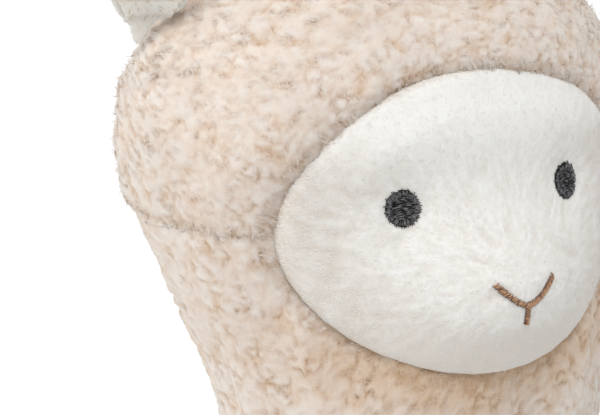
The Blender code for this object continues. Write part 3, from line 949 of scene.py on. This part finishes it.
def build_eye(side, skin):
    """Embroidered eye: a ring of radial stitches round rows of wavy fill."""
    node = "eye_" + side
    low, high = (Vector(corner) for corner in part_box(node))
    centre = (low + high) / 2
    hit, normal, _, _ = skin.ray_cast(centre + Vector((0, -40 * MM, 0)), Vector((0, 1, 0)))
    right = Vector((0, 0, 1)).cross(normal).normalized()
    up = normal.cross(right)
    rng = np.random.default_rng(11)

    def spot(x, y, height):
        return lay(skin, hit + right * x + up * y, -normal, height)

    runs = []
    for row in range(EYE_BACKING_ROWS):
        level = EYE_RADIUS * (2 * (row + 0.5) / EYE_BACKING_ROWS - 1)
        wide = math.sqrt(EYE_RADIUS ** 2 - level ** 2) - 0.2 * MM
        runs.append([spot(wide * share, level, 0.02 * MM) for share in (-1, -0.5, 0, 0.5, 1)])
    for index in range(EYE_RIM_STITCHES):
        angle = 2 * math.pi * (index + rng.uniform(-0.25, 0.25)) / EYE_RIM_STITCHES
        out = EYE_RADIUS * rng.uniform(0.92, 1.09)
        inner = EYE_RADIUS * rng.uniform(0.55, 0.7)
        lean = angle + rng.uniform(-0.06, 0.06)
        run = []
        for share, height in EYE_RIM_HEIGHTS:
            reach = out + (inner - out) * share
            turn = angle + (lean - angle) * share
            run.append(spot(reach * math.cos(turn), reach * math.sin(turn), height))
        runs.append(run)
    for row in range(EYE_ROWS):
        level = EYE_RADIUS * 0.68 * (2 * (row + 0.5) / EYE_ROWS - 1)
        wide = math.sqrt(max((0.72 * EYE_RADIUS) ** 2 - level ** 2, 0))
        wave = rng.uniform(0, 6)
        run = []
        for step in range(9):
            x = wide * (2 * step / 8 - 1)
            y = level + 0.22 * MM * math.sin(wave + x / (0.9 * MM))
            run.append(spot(x, y, (0.42 + 0.2 * math.cos(wave + 2 * step)) * MM))
        runs.append(run)
    eye = threads("eye_" + side + "_threads", runs, EYE_THREAD, skin)
    put(eye, EYE, "eye_thread", node)


def build_mouth(skin):
    """Sewn nose and mouth: short stitches side by side along both arms and the stem."""
    junction = MOUTH_LOW.z + STEM_LENGTH
    paths = []
    for side, half, rise in ((-1, LEFT_ARM, LEFT_RISE), (1, RIGHT_ARM, RIGHT_RISE)):
        shares = np.linspace(0, 1, 60)
        xs = side * half * shares
        zs = junction + rise * shares ** MOUTH_CURVE
        paths.append(np.stack([xs, zs], axis=1))
    shares = np.linspace(0, 1, 30)
    paths.append(np.stack([0 * shares, junction - (STEM_LENGTH - 0.2 * MM) * shares], axis=1))
    rng = np.random.default_rng(12)
    runs = []
    forward = Vector((0, 1, 0))
    for path in paths:
        for beside in (-0.4 * MM, 0, 0.4 * MM):
            places = [Vector((x + beside, MOUTH_LOW.y, z)) for x, z in path[::5]]
            runs.append([lay(skin, place, forward, 0.1 * MM) for place in places])
        gaps = np.linalg.norm(np.diff(path, axis=0), axis=1)
        along = np.concatenate([[0], np.cumsum(gaps)])
        for reach in np.arange(0, along[-1] - 0.3 * MM, MOUTH_PITCH):
            x = np.interp(reach, along, path[:, 0])
            z = np.interp(reach, along, path[:, 1])
            next_x = np.interp(reach + 0.3 * MM, along, path[:, 0])
            next_z = np.interp(reach + 0.3 * MM, along, path[:, 1])
            ahead = np.array([next_x - x, next_z - z])
            ahead /= np.linalg.norm(ahead)
            across = np.array([-ahead[1], ahead[0]]) + ahead * rng.uniform(0.3, 0.7)
            wide = MOUTH_STITCH / 2 * rng.uniform(0.85, 1.05)
            run = []
            for share, height in MOUTH_HEIGHTS:
                place = Vector((x + across[0] * wide * share, MOUTH_LOW.y, z + across[1] * wide * share))
                run.append(lay(skin, place, forward, height))
            runs.append(run)
    mouth = threads("mouth_threads", runs, MOUTH_THREAD, skin)
    put(mouth, MOUTH, "mouth_thread", "nose_mouth_stitch")


def build_ear(side):
    """Plush ear with its darker lining."""

    def upward(places):
        return np.tile([0, 0, 1.3], (len(places), 1))

    shell = bag("ear_%s_shell" % side, "ear_%s" % side, *CLOTH["ear"])
    places, _ = grid(shell)
    mark(shell, "pile", 0.6 + 0.4 * noises(places, PLUSH_FINE))
    put(shell, EAR, "ear_plush", "ear_%s_shell" % side)
    put(nap("ear_%s_nap" % side, shell, everywhere, upward, "ear_nap"), EAR_FIBRE, "ear_plush")
    lining = bag("ear_%s_lining" % side, "lining_%s" % side, *CLOTH["lining"])
    places, normals = grid(lining)
    front = places.mean(axis=0) - grid(shell)[0].mean(axis=0)
    front[2] = 0
    front /= np.linalg.norm(front)
    low = places[:, 2].min()
    fade = 1 - ramp_up(places[:, 2], low + LINING_PALE, low + LINING_FADE)
    lift = LINING_LIFT - LINING_SINK * (1 - ramp_up(places[:, 2], low, low + 3 * MM))
    fade = np.maximum(fade, 1 - ramp_up(normals @ front, 0.2, 0.8))
    settle(lining, places + lift[:, None] * front)
    mark(lining, "pile", 0.5 + 0.1 * noises(places, PLUSH_FINE) + 0.5 * fade)
    put(lining, LINING, "ear_lining", "ear_%s_lining" % side)
    hairs = nap("lining_%s_nap" % side, lining, everywhere, upward, "lining_nap")
    put(hairs, LINING_FIBRE, "ear_lining")


def build_leg(end, side):
    """Fleece leg with a plush sole."""

    def below_belly(places):
        return (places[:, 2] < LEG_CURLS_TOP).astype(float)

    name = "%s_%s" % (end, side)
    leg = bag("leg_" + name, "limb_" + name, *CLOTH["limb"])
    places, normals = grid(leg)
    foot = places[:, 2].min()
    thigh = ramp_up(places[:, 2], THIGH_LOW, THIGH_HIGH)
    settle(leg, places + normals * (THIGH_SWELL * thigh)[:, None])
    places, _ = grid(leg)
    fleece(leg, ramp_up(places[:, 2], foot + 2 * MM, foot + 6 * MM))
    put(leg, FLEECE, "fleece", "leg_" + name)
    put(curls("limb_%s_curls" % name, leg, below_belly, "limb_curls"), FIBRE, "fleece")
    sole = bag("sole_" + name, "pad_" + name, *CLOTH["pad"])
    places, _ = grid(sole)
    mark(sole, "pile", 0.6 + 0.4 * noises(places, PLUSH_FINE))
    put(sole, PLUSH, "sole_plush", "sole_" + name)


def build_tail():
    """Short fleece tail."""
    tail = bag("tail_fleece", "tail", *CLOTH["tail"])
    fleece(tail, everywhere(grid(tail)[0]))
    put(tail, FLEECE, "fleece", "tail_fleece")
    put(curls("tail_curls", tail, everywhere), FIBRE, "fleece")


def white_seen(tree):
    """1 for what the camera sees, directly or by gloss or glass."""
    path = tree.nodes.new("ShaderNodeLightPath")
    seen = path.outputs["Is Camera Ray"]
    for ray in ("Is Glossy Ray", "Is Transmission Ray"):
        either = add(tree, "ShaderNodeMath", operation="MAXIMUM")
        tree.links.new(seen, either.inputs[0])
        tree.links.new(path.outputs[ray], either.inputs[1])
        seen = either.outputs[0]
    return seen


def build_stage():
    """Pale floor and white surround, which the camera sees as white, with the toy's shadow kept."""
    bpy.ops.object.select_all(action="DESELECT")
    bpy.ops.mesh.primitive_plane_add(size=FLOOR_SIZE)
    floor = bpy.context.active_object
    floor.name = "floor"
    material = bpy.data.materials.new("floor")
    material.use_nodes = True
    tree = material.node_tree
    shader = tree.nodes["Principled BSDF"]
    shader.inputs["Base Color"].default_value = (FLOOR_GREY, FLOOR_GREY, FLOOR_GREY, 1)
    shader.inputs["Roughness"].default_value = 0.9
    shader.inputs["Emission Color"].default_value = (1, 1, 1, 1)
    times = add(tree, "ShaderNodeMath", operation="MULTIPLY")
    times.inputs[1].default_value = FLOOR_GLOW
    tree.links.new(white_seen(tree), times.inputs[0])
    tree.links.new(times.outputs[0], shader.inputs["Emission Strength"])
    floor.data.materials.append(material)
    world = bpy.data.worlds.new("studio")
    bpy.context.scene.world = world
    world.use_nodes = True
    tree = world.node_tree
    around = tree.nodes["Background"]
    around.inputs["Color"].default_value = (1, 1, 1, 1)
    around.inputs["Strength"].default_value = SURROUND_STRENGTH
    white = tree.nodes.new("ShaderNodeBackground")
    mix = tree.nodes.new("ShaderNodeMixShader")
    white.inputs["Color"].default_value = (1, 1, 1, 1)
    tree.links.new(white_seen(tree), mix.inputs["Fac"])
    tree.links.new(around.outputs[0], mix.inputs[1])
    tree.links.new(white.outputs[0], mix.inputs[2])
    tree.links.new(mix.outputs[0], tree.nodes["World Output"].inputs["Surface"])


def lamp(name, place, watts):
    """Square soft light, placed from the head and looking at it."""
    data = bpy.data.lights.new(name, "AREA")
    data.size = LAMP_SIZE
    data.energy = watts
    made = bpy.data.objects.new(name, data)
    made.location = HEAD_AXIS + Vector(place)
    made.rotation_euler = (-Vector(place)).to_track_quat("-Z", "Y").to_euler()
    bpy.context.collection.objects.link(made)


def build_camera():
    """Camera at the photograph's angle and distance."""
    azimuth, elevation = math.radians(CAMERA_AZIMUTH), math.radians(CAMERA_ELEVATION)
    right = Vector((math.cos(azimuth), math.sin(azimuth), 0))
    level = Vector((math.sin(azimuth), -math.cos(azimuth), 0))
    back = level * math.cos(elevation) + Vector((0, 0, math.sin(elevation)))
    up = back.cross(right)
    aim = HEAD_AXIS + right * AIM_RIGHT + up * AIM_UP
    data = bpy.data.cameras.new("camera")
    data.sensor_width = 36
    data.lens = CAMERA_LENS
    data.clip_start = 0.01
    camera = bpy.data.objects.new("camera", data)
    turned = Matrix((right, up, back)).transposed().to_4x4()
    camera.matrix_world = Matrix.Translation(aim + back * CAMERA_DISTANCE) @ turned
    bpy.context.collection.objects.link(camera)
    bpy.context.scene.camera = camera


bpy.context.scene.view_settings.view_transform = "Standard"
build_camera()
build_stage()
lamp("key", KEY_PLACE, KEY_WATTS)
lamp("side", SIDE_PLACE, SIDE_WATTS)
build_crown()
build_body()
face = build_face()
skin = BVHTree.FromObject(face, bpy.context.evaluated_depsgraph_get())
for side in ("left", "right"):
    build_eye(side, skin)
    build_ear(side)
    for end in ("front", "rear"):
        build_leg(end, side)
build_mouth(skin)
build_tail()
